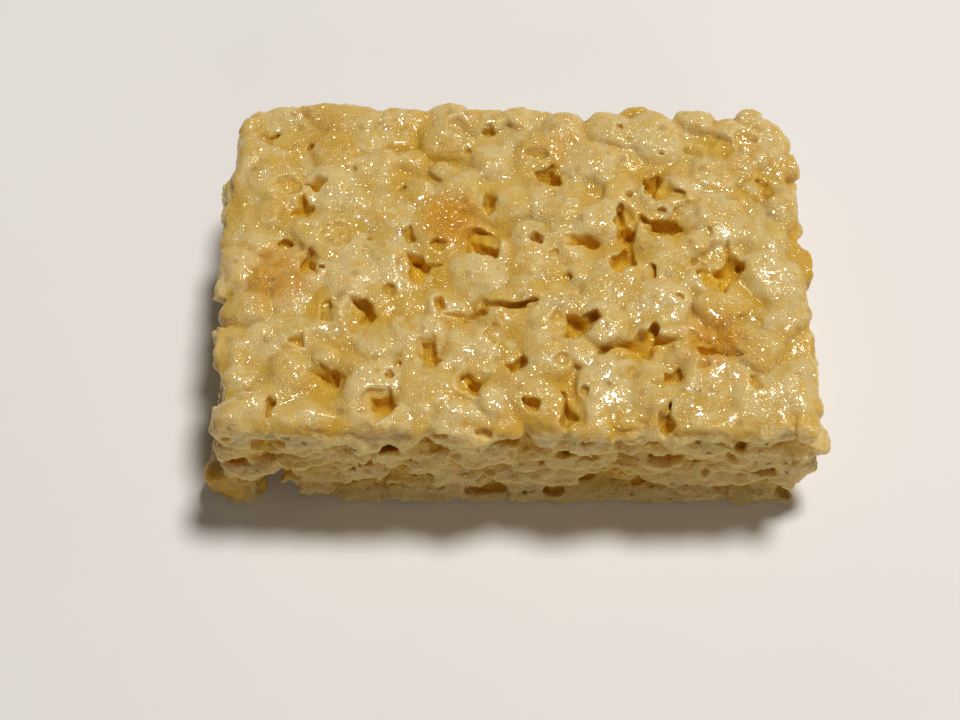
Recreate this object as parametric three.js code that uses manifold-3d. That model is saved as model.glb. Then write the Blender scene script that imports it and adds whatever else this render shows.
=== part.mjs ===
// A bar of puffed rice bound with marshmallow, cut from a pressed slab: one fused solid.
// Millimetres, +Z up, origin at the middle of the underside, front cut face towards -Y.
import * as THREE from "three";
import { mergeVertices } from "three/addons/utils/BufferGeometryUtils.js";
import Module from "manifold-3d";

const { degToRad, lerp } = THREE.MathUtils;

// The slab between its cut faces, and its worn corners in plan
const LENGTH = 82;
const DEPTH = 54;
const HEIGHT = 22.5;
const CORNER_RADII = { frontLeft: 2, frontRight: 2, backRight: 8, backLeft: 3.5 };
const CORNER_SEGMENTS = 3;
const CUT_FACES = [
  { turn: 0, length: LENGTH, distance: DEPTH / 2 },
  { turn: degToRad(90), length: DEPTH, distance: LENGTH / 2 },
  { turn: degToRad(180), length: LENGTH, distance: DEPTH / 2 },
  { turn: degToRad(270), length: DEPTH, distance: LENGTH / 2 },
];

// One puff in its coat of marshmallow, pressed flat, and how much puffs differ
const PUFF = { length: 9.4, width: 7.2, thickness: 6.4 };
const SIZE_SPREAD = 0.18;
const LUMP_RADIUS = 0.55; // past half of the size, to make up for the flat sides
const LUMP_SPREAD = 0.1;
const LUMP_SEED = 2027;
const MAX_TILT = degToRad(14);

// The top layer is a random scatter of puffs with a least spacing
const TOP_SPACING = 6.3;
const TOP_THROWS = 1500;
const TOP_UNEVENNESS = 1.5;
const TOP_PROUD = 0.5; // the highest puffs stand this far past the slab's top, and are pressed flat
const TOP_SEED = 2027;

// Below it, uneven rings of puffs lie just inside the cut faces
const RINGS = 3;
const RING_PITCH = 8.2;
const RING_RISE = 5.4;
const RING_INSET = 1.7;
const RING_STAGGER = 0.25; // share of the pitch that each ring is shifted, left and right in turn
const RING_UNEVENNESS = { along: 1.6, inset: 1.3, height: 0.8, yaw: degToRad(28) };
const RING_SEED = 2031;

// The marshmallow-filled core that the outer puffs sit in
const CORE_SIDE_INSET = 3.0;
const CORE_TOP_INSET = 2.7;

// Open gaps between the top puffs: place, size and turn of the largest ones
const GAP_DEPTH = 6.5;
const GAP_MARGIN = 1.3; // a puff's centre keeps this clear of a gap
const TOP_GAPS = [
  { x: -30.8, y: 8.8, length: 3.6, width: 2.0, turn: 60 },
  { x: -29.0, y: -0.3, length: 3.2, width: 1.5, turn: 100 },
  { x: -13.0, y: -0.6, length: 4.6, width: 2.7, turn: -20 },
  { x: -3.7, y: 10.4, length: 3.6, width: 2.0, turn: 80 },
  { x: -5.3, y: 1.9, length: 3.8, width: 2.5, turn: -40 },
  { x: -20.9, y: -8.9, length: 4.4, width: 2.3, turn: 115 },
  { x: -6.4, y: -9.0, length: 5.0, width: 1.9, turn: 5 },
  { x: 20.0, y: 13.5, length: 4.2, width: 2.4, turn: -70 },
  { x: 15.5, y: 5.2, length: 5.8, width: 1.8, turn: 92 },
  { x: 9.2, y: 3.4, length: 3.4, width: 2.0, turn: 8 },
  { x: 21.7, y: 5.6, length: 4.8, width: 2.6, turn: -15 },
  { x: 29.8, y: -1.8, length: 6.2, width: 3.1, turn: 78 },
  { x: 9.0, y: -10.4, length: 4.8, width: 3.3, turn: 40 },
  { x: 6.0, y: 14.1, length: 4.0, width: 2.2, turn: -35 },
  { x: -25.9, y: -18.3, length: 4.2, width: 2.1, turn: -18 },
  { x: -18.2, y: -23.4, length: 3.6, width: 2.9, turn: -30 },
  { x: -11.7, y: -15.1, length: 3.6, width: 1.9, turn: 105 },
  { x: -5.8, y: -20.0, length: 3.2, width: 2.3, turn: 70 },
  { x: 16.5, y: -13.8, length: 7.0, width: 2.4, turn: 6 },
  { x: 20.5, y: -18.6, length: 2.9, width: 1.8, turn: 70 },
  { x: 6.6, y: -24.0, length: 4.0, width: 2.1, turn: 100 },
  { x: 26.6, y: -14.8, length: 4.6, width: 1.8, turn: -8 },
];

// Pockets in the cut faces and shallow ones in the underside, scattered by rule
const POCKET = { length: 6.2, height: 2.4, depth: 3.4 };
const POCKET_PITCH = 13;
const POCKET_SHIFT = 3.2;
const POCKET_BAND = { low: 0.2 * HEIGHT, high: 0.78 * HEIGHT };
const POCKET_SEED = 311;
const UNDERSIDE_PITS = 14;
const UNDERSIDE_PIT = { length: 5.0, width: 3.2, depth: 2.2 };
const UNDERSIDE_MARGIN = 5;

// What the knife left: a bite out of the front's lower edge, and puffs that stick out
const NOTCH = { x: -34.2, length: 6.4, height: 9.4, depth: 7.5 };
const STRAYS = [
  { x: -40.5, y: -22.6, z: 3.2, yaw: degToRad(84), tilt: degToRad(6), size: 0.92 },
  { x: 40.5, y: -22.2, z: 13.6, yaw: degToRad(97), tilt: degToRad(-4), size: 0.95 },
];

const MARSHMALLOW = { color: 0xd9bd7c, roughness: 0.35, metalness: 0 };

const UP = new THREE.Vector3(0, 0, 1);

const wasm = await Module();
wasm.setup();

// A geometry of shared vertices, without normals or texture coordinates
function merged(geometry) {
  geometry.deleteAttribute("normal");
  geometry.deleteAttribute("uv");
  return mergeVertices(geometry);
}

// A closed geometry of shared vertices as a solid
function solidOf(geometry) {
  return new wasm.Manifold(
    new wasm.Mesh({
      numProp: 3,
      vertProperties: new Float32Array(geometry.attributes.position.array),
      triVerts: new Uint32Array(geometry.index.array),
    }),
  );
}

// A solid as a three.js geometry
function geometryOf(solid) {
  const { vertProperties, triVerts } = solid.getMesh();
  const geometry = new THREE.BufferGeometry();
  geometry.setAttribute("position", new THREE.BufferAttribute(vertProperties, 3));
  geometry.setIndex(new THREE.BufferAttribute(triVerts, 1));
  geometry.computeVertexNormals();
  return geometry;
}

function join(solids) {
  return solids.reduce((whole, solid) => whole.add(solid));
}

// Seeded draws from 0 to 1, by the Park-Miller rule
function seeded(seed) {
  const modulus = 2147483647;
  let state = seed;
  return () => {
    state = (state * 48271) % modulus;
    return state / modulus;
  };
}

function either(draw, spread) {
  return (draw() * 2 - 1) * spread;
}

// An uneven, twenty-sided ellipsoid whose length lies along its own X axis, put in place
function lump(size, turn, place, draw) {
  const geometry = merged(new THREE.IcosahedronGeometry(LUMP_RADIUS));
  const points = geometry.attributes.position;
  const corner = new THREE.Vector3();
  for (let i = 0; i < points.count; i++) {
    corner.fromBufferAttribute(points, i).multiplyScalar(1 + either(draw, LUMP_SPREAD));
    points.setXYZ(i, ...corner.multiply(size));
  }
  const matrix = new THREE.Matrix4().makeRotationFromEuler(turn).setPosition(place);
  return solidOf(geometry.applyMatrix4(matrix));
}

// True if a puff centred here would close one of the open gaps
function crowdsGap(x, y) {
  return TOP_GAPS.some((gap) => {
    const turn = degToRad(gap.turn);
    const along = (x - gap.x) * Math.cos(turn) + (y - gap.y) * Math.sin(turn);
    const across = (y - gap.y) * Math.cos(turn) - (x - gap.x) * Math.sin(turn);
    const reach = { along: gap.length / 2 + GAP_MARGIN, across: gap.width / 2 + GAP_MARGIN };
    return (along / reach.along) ** 2 + (across / reach.across) ** 2 < 1;
  });
}

// The top puffs: random throws, kept where they leave the others and the open gaps room
function packTop() {
  const draw = seeded(TOP_SEED);
  const puffs = [];
  for (let i = 0; i < TOP_THROWS; i++) {
    const x = either(draw, LENGTH / 2);
    const y = either(draw, DEPTH / 2);
    const yaw = draw() * Math.PI;
    const tilt = either(draw, MAX_TILT);
    const size = 1 + either(draw, SIZE_SPREAD);
    const sunk = draw() * TOP_UNEVENNESS;
    const crowded = puffs.some((p) => (p.x - x) ** 2 + (p.y - y) ** 2 < TOP_SPACING ** 2);
    if (crowded || crowdsGap(x, y)) continue;
    const z = HEIGHT + TOP_PROUD - (PUFF.thickness * size) / 2 - sunk;
    puffs.push({ x, y, z, yaw, tilt, size });
  }
  return puffs;
}

// The puffs of one ring, staggered against the ring below
function packRing(ring) {
  const draw = seeded(RING_SEED + ring);
  const stagger = ring % 2 ? RING_STAGGER : -RING_STAGGER;
  return CUT_FACES.flatMap(({ turn, length, distance }) => {
    const count = Math.round(length / RING_PITCH);
    return Array.from({ length: count }, (_, i) => {
      const step = (i + 0.5 + stagger) / count - 0.5;
      const along = step * length + either(draw, RING_UNEVENNESS.along);
      const inset = RING_INSET + either(draw, RING_UNEVENNESS.inset);
      const outward = distance - inset;
      return {
        x: along * Math.cos(turn) + outward * Math.sin(turn),
        y: along * Math.sin(turn) - outward * Math.cos(turn),
        z: PUFF.thickness / 2 + ring * RING_RISE + either(draw, RING_UNEVENNESS.height),
        yaw: turn + either(draw, RING_UNEVENNESS.yaw),
        tilt: either(draw, MAX_TILT),
        size: 1 + either(draw, SIZE_SPREAD),
      };
    });
  });
}

function puffSolid({ x, y, z, yaw, tilt, size }, draw) {
  const extent = new THREE.Vector3(PUFF.length, PUFF.width, PUFF.thickness).multiplyScalar(size);
  return lump(extent, new THREE.Euler(0, tilt, yaw, "ZYX"), new THREE.Vector3(x, y, z), draw);
}

function coreSolid() {
  const height = HEIGHT - CORE_TOP_INSET;
  const box = new THREE.BoxGeometry(LENGTH - 2 * CORE_SIDE_INSET, DEPTH - 2 * CORE_SIDE_INSET, height);
  return solidOf(merged(box).translate(0, 0, height / 2));
}

// The block that the knife and the pan leave: flat cut sides, flat underside, worn corners
function slabSolid() {
  const { frontLeft, frontRight, backRight, backLeft } = CORNER_RADII;
  const right = LENGTH / 2;
  const back = DEPTH / 2;
  const quarter = Math.PI / 2;
  const plan = new THREE.Shape()
    .moveTo(-right + frontLeft, -back)
    .absarc(right - frontRight, -back + frontRight, frontRight, -quarter, 0)
    .absarc(right - backRight, back - backRight, backRight, 0, quarter)
    .absarc(-right + backLeft, back - backLeft, backLeft, quarter, 2 * quarter)
    .absarc(-right + frontLeft, -back + frontLeft, frontLeft, 2 * quarter, 3 * quarter);
  const settings = { depth: HEIGHT, bevelEnabled: false, curveSegments: CORNER_SEGMENTS };
  return solidOf(merged(new THREE.ExtrudeGeometry(plan, settings)));
}

function topGapSolid(gap, draw) {
  const extent = new THREE.Vector3(gap.length, gap.width, 2 * GAP_DEPTH);
  const turn = new THREE.Euler(0, 0, degToRad(gap.turn));
  return lump(extent, turn, new THREE.Vector3(gap.x, gap.y, HEIGHT), draw);
}

// Flattened pockets along one cut face
function facePockets({ turn, length, distance }, draw) {
  const count = Math.round(length / POCKET_PITCH);
  return Array.from({ length: count }, (_, i) => {
    const along = ((i + 0.5) / count - 0.5) * length + either(draw, POCKET_SHIFT);
    const height = lerp(POCKET_BAND.low, POCKET_BAND.high, draw());
    const grown = 1 + either(draw, SIZE_SPREAD);
    const extent = new THREE.Vector3(POCKET.length, 2 * POCKET.depth, POCKET.height).multiplyScalar(grown);
    const place = new THREE.Vector3(along, -distance, height).applyAxisAngle(UP, turn);
    return lump(extent, new THREE.Euler(0, 0, turn), place, draw);
  });
}

function undersidePits(draw) {
  return Array.from({ length: UNDERSIDE_PITS }, () => {
    const x = either(draw, LENGTH / 2 - UNDERSIDE_MARGIN);
    const y = either(draw, DEPTH / 2 - UNDERSIDE_MARGIN);
    const grown = 1 + either(draw, SIZE_SPREAD);
    const extent = new THREE.Vector3(UNDERSIDE_PIT.length, UNDERSIDE_PIT.width, 2 * UNDERSIDE_PIT.depth);
    const turn = new THREE.Euler(0, 0, draw() * Math.PI);
    return lump(extent.multiplyScalar(grown), turn, new THREE.Vector3(x, y, 0), draw);
  });
}

function notchSolid(draw) {
  const extent = new THREE.Vector3(NOTCH.length, 2 * NOTCH.depth, NOTCH.height);
  const place = new THREE.Vector3(NOTCH.x, -DEPTH / 2, 0);
  return lump(extent, new THREE.Euler(), place, draw);
}

// The outer skin of the largest piece: loose scraps go, and hollows that fusing sealed are filled
function soundPiece(solid) {
  const pieces = solid.decompose();
  return pieces.reduce((best, piece) => (piece.volume() > best.volume() ? piece : best));
}

function barSolid() {
  const draw = seeded(LUMP_SEED);
  const rings = Array.from({ length: RINGS }, (_, ring) => packRing(ring));
  const puffs = [...packTop(), ...rings.flat()];
  const fused = join([coreSolid(), ...puffs.map((puff) => puffSolid(puff, draw))]);
  const drawPocket = seeded(POCKET_SEED);
  const hollows = [
    ...TOP_GAPS.map((gap) => topGapSolid(gap, drawPocket)),
    ...CUT_FACES.flatMap((face) => facePockets(face, drawPocket)),
    ...undersidePits(drawPocket),
    notchSolid(drawPocket),
  ];
  const cut = fused.intersect(slabSolid()).subtract(join(hollows));
  return soundPiece(join([cut, ...STRAYS.map((stray) => puffSolid(stray, draw))]));
}

const treat = new THREE.Mesh(geometryOf(barSolid()), new THREE.MeshStandardMaterial(MARSHMALLOW));
treat.name = "puffed_rice_bar";

const bar = new THREE.Group();
bar.add(treat);

export default bar;
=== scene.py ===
# A bar of puffed rice bound with marshmallow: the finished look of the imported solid.
# The mass of puffs is worked out as a field of distances, in millimetres, and meshed from it.
import math
from dataclasses import dataclass

import bpy
import numpy as np
import openvdb
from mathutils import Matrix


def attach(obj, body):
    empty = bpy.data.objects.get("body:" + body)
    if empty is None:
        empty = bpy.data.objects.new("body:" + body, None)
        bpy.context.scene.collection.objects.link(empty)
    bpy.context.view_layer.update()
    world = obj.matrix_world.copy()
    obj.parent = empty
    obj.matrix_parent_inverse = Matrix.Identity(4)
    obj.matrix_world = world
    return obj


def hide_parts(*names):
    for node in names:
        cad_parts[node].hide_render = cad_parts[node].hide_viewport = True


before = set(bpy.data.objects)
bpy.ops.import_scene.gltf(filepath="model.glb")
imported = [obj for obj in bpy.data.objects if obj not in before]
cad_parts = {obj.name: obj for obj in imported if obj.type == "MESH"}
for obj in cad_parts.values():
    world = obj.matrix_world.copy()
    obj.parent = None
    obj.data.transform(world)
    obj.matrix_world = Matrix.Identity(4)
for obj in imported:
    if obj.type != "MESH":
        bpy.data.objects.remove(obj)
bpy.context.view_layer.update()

NODE = "puffed_rice_bar"
METRES = 0.001  # one millimetre

# The slab between its cut faces, and its worn corners in plan
LENGTH = 82.0
DEPTH = 54.0
HEIGHT = 22.5
CORNER_RADII = {"front_left": 2.0, "front_right": 2.0, "back_right": 8.0, "back_left": 3.5}
CUT_FACES = [
    {"turn": 0.0, "length": LENGTH, "distance": DEPTH / 2},
    {"turn": math.radians(90), "length": DEPTH, "distance": LENGTH / 2},
    {"turn": math.radians(180), "length": LENGTH, "distance": DEPTH / 2},
    {"turn": math.radians(270), "length": DEPTH, "distance": LENGTH / 2},
]

# One puff in its coat of marshmallow, how much puffs differ, and how lumpy they are
PUFF = (9.4, 7.2, 6.4)
SIZE_SPREAD = 0.18
PUFF_LUMPS = 0.19
PUFF_GRAIN = 0.08
TORN_LUMPS = 3.0  # torn puffs are this many times lumpier
MAX_TILT = math.radians(14)

# The top layer is a random scatter of puffs with a least spacing
TOP_SPACING = 6.3
TOP_THROWS = 1500
TOP_UNEVENNESS = 0.85
TOP_PROUD = 0.5
TOP_SEED = 2027
TOP_LAYER = 17.0  # the top puffs are centred above this height
GAP_MARGIN = 1.3

# Smaller puffs in the valleys of the top
SMALL_SIZE = 0.62
SMALL_SUNK = 1.4
SMALL_SPACING = 3.4
SMALL_CLEARANCE = 3.9
SMALL_THROWS = 1500
SMALL_SEED = 409

# Below it, uneven rings of puffs lie just inside the cut faces
RINGS = 3
RING_PITCH = 8.2
RING_RISE = 5.4
RING_INSET = 1.7
RING_STAGGER = 0.25
RING_UNEVENNESS = {"along": 1.6, "inset": 1.3, "height": 1.7, "yaw": math.radians(28)}
RING_SEED = 2031

# Open gaps between the top puffs: x, y, length, width and turn in degrees
TOP_GAPS = [
    (-30.8, 8.8, 3.6, 2.0, 60),
    (-29.0, -0.3, 3.2, 1.5, 100),
    (-13.0, -0.6, 4.6, 2.7, -20),
    (-3.7, 10.4, 3.6, 2.0, 80),
    (-5.3, 1.9, 3.8, 2.5, -40),
    (-20.9, -8.9, 4.4, 2.3, 115),
    (-6.4, -9.0, 5.0, 1.9, 5),
    (20.0, 13.5, 4.2, 2.4, -70),
    (15.5, 5.2, 5.8, 1.8, 92),
    (9.2, 3.4, 3.4, 2.0, 8),
    (21.7, 5.6, 5.0, 1.9, -15),
    (29.8, -1.8, 6.2, 3.1, 78),
    (9.0, -10.4, 4.8, 3.3, 40),
    (6.0, 14.1, 4.0, 2.2, -35),
    (-25.9, -18.3, 4.2, 2.1, -18),
    (-18.2, -23.4, 3.6, 2.9, -30),
    (-11.7, -15.1, 3.6, 1.9, 105),
    (-5.8, -20.0, 3.2, 2.3, 70),
    (16.5, -13.8, 7.0, 2.4, 6),
    (20.5, -18.6, 2.9, 1.8, 70),
    (6.6, -24.0, 4.0, 2.1, 100),
    (26.6, -14.8, 4.6, 1.8, -8),
]

# Smaller gaps that the solid leaves out
SMALL_GAPS = [
    (-29.2, 13.2, 2.2, 1.8, 20),
    (-15.4, 4.3, 2.2, 1.1, 95),
    (-10.5, -7.6, 2.0, 1.1, 95),
    (15.1, 0.0, 3.7, 2.1, 85),
    (2.7, 3.6, 1.5, 1.3, 0),
    (0.5, -7.9, 5.5, 1.3, 8),
    (-29.9, -13.2, 1.4, 1.2, 0),
    (-32.7, -23.5, 2.0, 1.2, 80),
    (-0.5, -16.7, 2.3, 1.9, 30),
    (19.8, -25.6, 3.0, 2.2, 75),
    (1.7, -23.2, 2.0, 1.1, 90),
]

# How deep gaps go, how fast they narrow, how their walls wander, and how soft their floors and rims are
GAP = {"depth": 3.9, "taper": 0.22, "wander": 0.4, "grain": 0.15, "floor": 1.2, "rim": 0.2, "seed": 58}

# A gap's plan, in shares of its half sizes: its longest reach, and how far, uneven and bulged its sides are
GAP_PLAN = {"reach": 1.35, "side": 0.5, "per_side": 0.06, "uneven": 0.2, "bulge": 0.2}

# Each gap lies in a shallow dish, these shares of its length and width
GAP_DISH = {"length": 0.6, "width": 0.7, "depth": 0.9, "sunk": 0.3, "softness": 0.7, "seed": 59}

# Burst bubbles and soft dents in the skin of the top; flatness is a share of the radius
PITS = [
    {"count": 60, "radius": (0.35, 0.85), "flatness": 0.7, "softness": 0.12, "seed": 611},
    {"count": 32, "radius": (0.9, 1.8), "flatness": 0.35, "softness": 0.35, "seed": 612},
]
PIT_MARGIN = 3.0  # clear of the cut faces
PIT_TILT = 0.5
PIT_STRETCH = 0.5

# Patches of the top that browned: x, y, radius and strength, and how far down it shows
TOASTED = [
    (-9.0, 6.5, 5.4, 1.2),
    (-33.0, -3.0, 7.0, 0.8),
    (27.0, -13.0, 6.0, 0.9),
    (8.0, 20.0, 7.0, 0.5),
    (-28.0, 22.0, 6.0, 0.5),
    (33.0, 18.0, 6.0, 0.5),
]
TOAST_EDGE = 1.3  # in radii
TOAST_DEPTH = 6.0

# How the cut faces are torn: broad waves, layers with ragged lips, crumb, and puffs torn unevenly
CUT_WAVE = 0.9
FLAKE = {"rise": 4.4, "lip": 1.6, "undercut": 0.18, "wander": 2.8, "teeth": 0.45}
FLAKE_WANDERS = (0.0, 5.0)  # layers lie flat on the pan and wander fully above the second height
TEETH_REACH = (-4.0, -2.0)  # teeth grow between these distances from the slab's edge
LIP_FADE = (0.3, 2.0)  # lips die out between these depths below the top
SHRED = {"rise": 1.9, "lip": 0.4, "wander": 1.1}
CRUMB = 0.26
FINE_CRUMB = 0.7  # its share of that
TEAR = (-0.3, 1.3)
TOP_TEAR = (-0.7, 0.4)
TEAR_SEED = 77
TORN_LEAN = (0.5, 2.0)  # torn puffs lean out this much at their lower side
TORN_CORNER = 0.25  # roundness of their torn edges
FOOT_FLARE = 0.5
FOOT_FLARE_RISE = (3.0, 0.5)  # it grows from the first height down to the second

# The knife passed by the puffs along the top's back edge, which stay whole this far past the cut
BACK_ROW = {"from": 18.0, "to": 24.8, "half_length": 34.0, "least_size": 0.8}
BACK_REACH = 1.6
BACK_CORNER = 1.8  # every top puff at the back is worn this round

# Torn pockets in the cut faces: half sizes along the face, up it and into it
POCKETS = [
    {"spacing": 8.2, "along": (1.6, 3.0), "up": (0.9, 1.6), "deep": (1.0, 2.2), "below": 4.2, "seed": 71},
    {"spacing": 5.6, "along": (0.5, 1.3), "up": (0.35, 0.8), "deep": (0.5, 1.2), "below": 2.6, "seed": 72},
]
POCKET_THROWS = 900
POCKET_LOWEST = 2.2
POCKET_MARGIN = 1.0  # clear of the corners
POCKET_INSET = 0.2

# The deepest pockets of the front, which run down into it: x, z, then half sizes along, across and down
FRONT_POCKETS = [
    (-17.1, 15.6, 1.6, 0.7, 4.0),
    (7.0, 14.6, 1.4, 0.8, 3.6),
    (10.5, 6.4, 1.8, 1.1, 4.0),
    (-24.5, 16.4, 2.0, 0.6, 2.4),
    (30.2, 16.6, 1.0, 0.9, 2.8),
]
POCKET_SLOPE = math.radians(60)

# What the knife left: bites out of the front's lower edge, and puffs that stick out past the cut
BITES = [  # x, then half sizes along, up and into the face
    (-35.8, 1.5, 4.4, 6.6),
    (-34.2, 1.6, 6.2, 6.8),
    (-32.4, 1.5, 4.6, 6.2),
    (42.0, 3.0, 8.0, 6.0),
]
STRAY_REACH = 3.2
TORN_STRAY_REACH = 1.6
PUFF_NUMBERS = 400
GLAZED_NUMBER = PUFF_NUMBERS - 1  # marks the ones that kept their glaze

# The grid of distances
VOXEL = 0.2
GRID_LOW = np.array([-46.2, -30.0, -1.2])
GRID_HIGH = np.array([46.2, 30.6, 25.2])
FAR = 2.6

# The mass is meshed in three pieces, which overlap a little: the top layer parts under its lip from the
# torn mass below, which parts again along a wavy line across it
SEAM_LAYER = 4
SEAM_SINK = 5.0
SEAM_SINKS = (4.0, 9.0)  # it starts and stops sinking this far inside the cut
SIDE_PARTING = -8.0
PARTING_WAVE = 3.0
SEAM_OVERLAP = 0.5
MOST_TRIANGLES = 194_000

# Nothing here is a true ellipsoid: every lump and hollow is bent by this much, and hollows are ragged
WARP = 0.8
HOLLOW_LUMPS = 0.3
HOLLOW_GRAIN = 0.12
HOLLOW_RIM = 0.12
HOLLOW_MARGIN = 1.5
BITE_RAGGED = 1.8  # bites are this many times more so

# The press flattens the highest puffs to an uneven level just above the slab
PRESS = {"above": 0.2, "waves": 0.4, "grain": 0.08, "softness": 1.2}

# The rim of the top is worn down between these distances from the slab's edge, and less at the back
RIM = {"wear": 2.2, "inner": -3.6, "outer": 0.6, "waves": 0.6}
RIM_BACK = {"from": 18.0, "to": 24.0, "kept": 0.8}

# How the mass is bound: softness of the joins, and the marshmallow between the puffs
BOND = 0.45
FILL = {"depth": 1.4, "depth_waves": 0.7, "inset": 1.6, "inset_waves": 1.1, "bond": 0.9}
FOOT_HEIGHT = 3.5  # below this the mass spreads out to the cut faces

# Where the torn finish starts: this far inside the torn outline, and this far below the top
TORN_FINISH = (2.4, 0.6)
GLAZE_EDGE = {"from": 0.6, "to": 3.0, "waves": 1.2}
SKIN_EDGE = (-0.7, -0.3)  # distances from the surface over which a place counts as skin
TINT_SEED = 40

# Blisters and bubbles of the skin, its torn foam, and the crumbs that cling to it
SKIN_SIZES = {
    "Blister Size": 1.7,
    "Blister Height": 0.07,
    "Bubble Size": 0.75,
    "Bubble Height": 0.07,
    "Foam Depth": 0.12,
}
BUBBLY_PATCH = 3.0
DOME_RIM = 0.62  # where neighbouring domes meet, in cells from the middle
CRUMB_SIZES = {"Spacing": 2.3, "Crumb Size": 0.4, "Crumple": 0.5}
CRUMB_SHAPES = ((0.4, 0.3, 0.15), (1.7, 1.0, 0.5))
CRUMB_TURNS = ((-0.7, -0.7, 0), (0.7, 0.7, math.tau))
CRUMB_SEEDS = {"place": 11, "shape": 12, "turn": 13}
CRUMB_SWIRL = 1.6  # per millimetre
CRUMB_LOWEST = (0.7, 1.1)  # none below the first height, all above the second
MIDDLE = (0.5, 0.5, 0.5)  # of a colour that stands for a random vector

# The camera, fitted to the photograph's frame of 960 by 720 pixels
CAMERA_PLACE = (-4.99, -124.7, 209.3)
CAMERA_PITCH = math.radians(60)
CAMERA_LENS = 59.9
CAMERA_SENSOR = 36.0

# The stage in metres: a pale floor, a dim warm room, and two lamps with their power in watts
FLOOR_SIZE = 3.0
ROOM = {"Color": (1.0, 0.93, 0.8, 1.0), "Strength": 0.073}
LAMPS = {
    "overhead": {"place": (0.27, 0.29, 1.06), "size": 0.24, "watts": 10.5, "tint": (1.0, 0.985, 0.965)},
    "window": {"place": (0.3, -1.05, 0.38), "size": 0.7, "watts": 2.0, "tint": (1.0, 0.94, 0.82)},
}


class Draws:
    """Seeded draws from 0 to 1, by the same rule of multiples and remainders as the solid's."""

    def __init__(self, seed):
        self.state = seed

    def __call__(self):
        self.state = self.state * 48271 % 2147483647
        return self.state / 2147483647

    def either(self, spread):
        return (self() * 2 - 1) * spread

    def between(self, low, high):
        return low + (high - low) * self()


def turned_axes(yaw, tilt=0.0):
    """Axes turned about the vertical and then tilted, as columns, the length first."""
    c, s = math.cos(yaw), math.sin(yaw)
    ct, st = math.cos(tilt), math.sin(tilt)
    return np.array([[c * ct, -s, c * st], [s * ct, c, s * st], [-st, 0.0, ct]])


@dataclass
class Puff:
    x: float
    y: float
    z: float
    yaw: float
    tilt: float
    size: float


@dataclass
class Noise:
    """Smooth unevenness: about how wide its lumps are, its seed, and its stretch along x, y and z."""

    cell: float
    seed: int
    stretch: tuple = (1, 1, 1)


GLAZED_STRAYS = [
    Puff(-40.5, -23.2, 3.4, math.radians(84), math.radians(6), 0.92),
    Puff(-38.4, -24.8, 2.0, math.radians(30), 0.0, 0.55),
]
TORN_STRAY = Puff(40.2, -24.0, 12.4, math.radians(10), math.radians(-8), 0.62)

# Everything that is uneven, each in lumps of its own size
NOISES = {
    "warp x": Noise(3.6, 31),
    "warp y": Noise(3.6, 32),
    "warp z": Noise(3.6, 33),
    "puff lumps": Noise(2.2, 5),
    "puff grain": Noise(1.0, 6),
    "hollow lumps": Noise(1.1, 35),
    "hollow grain": Noise(0.6, 36),
    "layer wander": Noise(5.4, 12, (1, 1, 2)),
    "lip teeth": Noise(0.9, 14, (1, 1, 5)),
    "lip reach": Noise(4.0, 13),
    "shred wander": Noise(2.6, 16),
    "shred reach": Noise(2.2, 17),
    "cut waves": Noise(6.0, 2),
    "coarse crumb": Noise(2.4, 20),
    "crumb": Noise(1.3, 3, (1.4, 1.4, 0.8)),
    "fine crumb": Noise(0.7, 4),
    "fill depth": Noise(7.0, 8),
    "fill inset": Noise(3.2, 9),
    "press waves": Noise(8.0, 10),
    "press grain": Noise(1.6, 11),
    "rim wear": Noise(4.0, 18),
    "glaze edge": Noise(4.0, 19),
    "gap wander": Noise(1.8, 21),
    "gap grain": Noise(0.8, 22),
    "parting": Noise(9.0, 15),
}


def crowds_gap(x, y):
    """True if a puff centred here would close one of the open gaps."""
    for gap_x, gap_y, length, width, degrees in TOP_GAPS:
        c, s = math.cos(math.radians(degrees)), math.sin(math.radians(degrees))
        along = (x - gap_x) * c + (y - gap_y) * s
        across = (y - gap_y) * c - (x - gap_x) * s
        if math.hypot(along / (length / 2 + GAP_MARGIN), across / (width / 2 + GAP_MARGIN)) < 1:
            return True
    return False


def pack_top():
    """The top puffs: random throws, kept where they leave the others and the open gaps room."""
    draw = Draws(TOP_SEED)
    puffs = []
    for _ in range(TOP_THROWS):
        x = draw.either(LENGTH / 2)
        y = draw.either(DEPTH / 2)
        yaw = draw() * math.pi
        tilt = draw.either(MAX_TILT)
        size = 1 + draw.either(SIZE_SPREAD)
        sunk = draw() * TOP_UNEVENNESS
        crowded = any((p.x - x) ** 2 + (p.y - y) ** 2 < TOP_SPACING**2 for p in puffs)
        if crowded or crowds_gap(x, y):
            continue
        puffs.append(Puff(x, y, HEIGHT + TOP_PROUD - PUFF[2] * size / 2 - sunk, yaw, tilt, size))
    return puffs


def pack_small(large):
    """Smaller puffs and broken ones, thrown into the valleys between the top puffs."""
    draw = Draws(SMALL_SEED)
    puffs = []
    for _ in range(SMALL_THROWS):
        x = draw.either(LENGTH / 2)
        y = draw.either(DEPTH / 2)
        yaw = draw() * math.pi
        tilt = draw.either(2 * MAX_TILT)
        size = SMALL_SIZE * (1 + draw.either(SIZE_SPREAD))
        sunk = SMALL_SUNK * draw()
        near_large = any((p.x - x) ** 2 + (p.y - y) ** 2 < SMALL_CLEARANCE**2 for p in large)
        near_small = any((p.x - x) ** 2 + (p.y - y) ** 2 < SMALL_SPACING**2 for p in puffs)
        if near_large or near_small:
            continue
        puffs.append(Puff(x, y, HEIGHT - PUFF[2] * size / 2 - sunk, yaw, tilt, size))
    return puffs


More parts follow.
